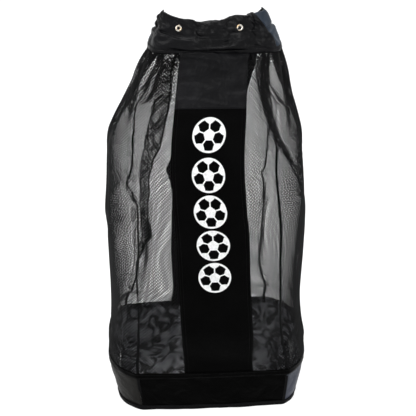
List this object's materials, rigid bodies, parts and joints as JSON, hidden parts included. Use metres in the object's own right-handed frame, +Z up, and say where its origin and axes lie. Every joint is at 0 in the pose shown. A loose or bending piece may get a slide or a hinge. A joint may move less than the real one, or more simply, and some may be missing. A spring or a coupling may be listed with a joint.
{
  "type": "mesh ball bag",
  "caption": "Tall drawstring ball bag with a coated base and boot, diamond mesh walls, solid front and back strips, and a gathered collar with metal eyelets.",
  "frame": {"origin": "centre of the underside of the base panel, on the surface that the bag stands on", "axes": "+Z up, from the base to the mouth; -Y the front, with the printed strip and the eyelets; +X to the right seen from the front"},
  "size_m": [0.4516, 0.4314, 0.9],
  "materials": {
    "mesh_net": "satin",
    "strip_cloth": "matte",
    "coated_boot_cloth": "matte",
    "seam_tape": "matte",
    "white_print": "matte",
    "collar_cloth": "satin",
    "eyelet_metal": "gloss"
  },
  "bodies": {
    "bag": {"back_strip_lower": "strip_cloth", "back_strip_upper": "strip_cloth", "base_binding": "seam_tape", "base_panel": "coated_boot_cloth", "boot_back": "coated_boot_cloth", "boot_front": "coated_boot_cloth", "boot_left": "coated_boot_cloth", "boot_right": "coated_boot_cloth", "boot_tape_back_left": "seam_tape", "boot_tape_back_right": "seam_tape", "boot_tape_front_left": "seam_tape", "boot_tape_front_right": "seam_tape", "front_print": "white_print", "front_strip_lower": "strip_cloth", "front_strip_upper": "strip_cloth", "mesh_back_left": "mesh_net", "mesh_back_right": "mesh_net", "mesh_front_left": "mesh_net", "mesh_front_right": "mesh_net", "mesh_left": "mesh_net", "mesh_right": "mesh_net", "rim_hem": "seam_tape", "wall_tape_back_left": "seam_tape", "wall_tape_back_right": "seam_tape", "wall_tape_front_left": "seam_tape", "wall_tape_front_right": "seam_tape"},
    "neck": {"collar_back": "collar_cloth", "collar_front": "collar_cloth", "eyelet_left": "eyelet_metal", "eyelet_right": "eyelet_metal", "facing_back": "collar_cloth", "facing_front": "collar_cloth", "neck_tape": "seam_tape", "washer_left": "eyelet_metal", "washer_right": "eyelet_metal"}
  },
  "joints": [
    {"name": "neck_drop", "type": "slide", "parent": "bag", "child": "neck", "axis": [0, 0, -1], "range_m": [0, 0.4], "deforming": ["back_strip_lower", "back_strip_upper", "front_print", "front_strip_lower", "front_strip_upper", "mesh_back_left", "mesh_back_right", "mesh_front_left", "mesh_front_right", "mesh_left", "mesh_right", "wall_tape_back_left", "wall_tape_back_right", "wall_tape_front_left", "wall_tape_front_right"]}
  ]
}
